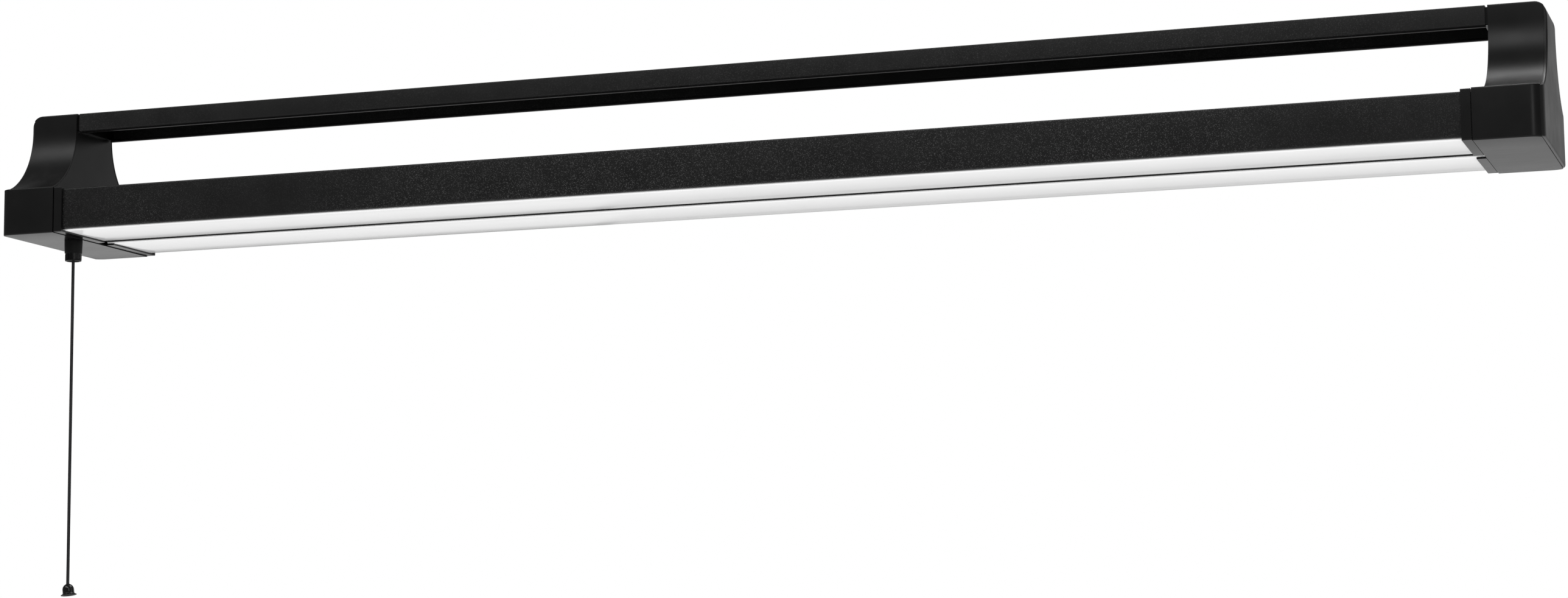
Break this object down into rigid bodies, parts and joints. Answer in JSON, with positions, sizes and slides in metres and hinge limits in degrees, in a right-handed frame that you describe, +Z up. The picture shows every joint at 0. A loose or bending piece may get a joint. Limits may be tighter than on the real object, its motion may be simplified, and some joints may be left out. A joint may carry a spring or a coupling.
{
  "type": "hanging shop light",
  "caption": "Long hanging LED shop light: a black channel body with frosted lenses, moulded end caps whose arms carry a top rail, and a pull-cord switch with a bell.",
  "frame": {"origin": "centre of the top rail's top face, which lies against the ceiling or hangs from two hooks", "axes": "+X along the light to the right as seen from the front, +Y from the front to the back, +Z up"},
  "size_m": [1.219, 0.152, 0.3931],
  "materials": {
    "black_powder_coat": "fine textured satin powder coat",
    "black_moulding": "satin moulded plastic",
    "frosted_lens": "frosted white acrylic",
    "spine_plastic": "satin",
    "black_steel": "matt black",
    "zinc_plated_steel": "zinc plated",
    "white_reflector": "satin white",
    "white_board": "white solder mask",
    "chip_phosphor": "clear silicone over phosphor",
    "driver_shell": "satin",
    "ivory_nylon": "satin",
    "black_rubber": "matt",
    "contact_brass": "plain",
    "switch_moulding": "satin",
    "natural_nylon": "satin",
    "switch_sleeve": "smooth matt",
    "braided_cord": "fine round braid",
    "gloss_black_plastic": "polished"
  },
  "bodies": {
    "fixture": {"top_rail": "black_powder_coat", "body_housing": "black_powder_coat", "led_tray": "white_reflector", "centre_spine": "spine_plastic", "end_cap_left": "black_moulding", "end_cover_left": "black_moulding", "arm_cover_left": "black_moulding", "hanger_bracket_left": "black_steel", "collar_left": "black_moulding", "end_plate_left": "zinc_plated_steel", "end_cap_right": "black_moulding", "end_cover_right": "black_moulding", "arm_cover_right": "black_moulding", "hanger_bracket_right": "black_steel", "collar_right": "black_moulding", "end_plate_right": "zinc_plated_steel", "diffuser_front": "frosted_lens", "led_board_front": "white_board", "led_chips_front": "chip_phosphor", "diffuser_rear": "frosted_lens", "led_board_rear": "white_board", "led_chips_rear": "chip_phosphor", "driver_case": "driver_shell", "terminal_block": "ivory_nylon", "inlet_grommet": "black_rubber", "switch_case": "switch_moulding", "switch_lid": "switch_moulding", "switch_barrel": "switch_sleeve", "cord_guide": "switch_sleeve", "plunger_spring": "zinc_plated_steel", "wheel_axle": "zinc_plated_steel", "contact_fixed": "contact_brass", "contact_moving": "contact_brass", "cap_screws": "zinc_plated_steel", "bracket_screws": "zinc_plated_steel", "rail_screws": "zinc_plated_steel", "tray_screws": "zinc_plated_steel", "tray_spacers": "zinc_plated_steel", "spine_screws": "zinc_plated_steel", "board_screws": "zinc_plated_steel", "driver_screws": "zinc_plated_steel"},
    "pull": {"switch_plunger": "natural_nylon", "pull_cord": "braided_cord", "cord_knot": "braided_cord", "cord_bell": "gloss_black_plastic"},
    "wheel": {"ratchet_wheel": "natural_nylon"}
  },
  "joints": [
    {"name": "cord_pull", "type": "slide", "parent": "fixture", "child": "pull", "axis": [0, 0, -1], "range_m": [0, 0.00785], "stiffness_N_per_m": 600, "springref_m": -0.01, "deforming": ["plunger_spring"]},
    {"name": "wheel_turn", "type": "hinge", "parent": "fixture", "child": "wheel", "pos_m": [-0.5785, -0.028, -0.0873], "axis": [0, 1, 0], "range_deg": [0, 90]}
  ],
  "couplings": [
    {"joint": "wheel_turn", "follows": "cord_pull", "rad_per_m": 200}
  ]
}
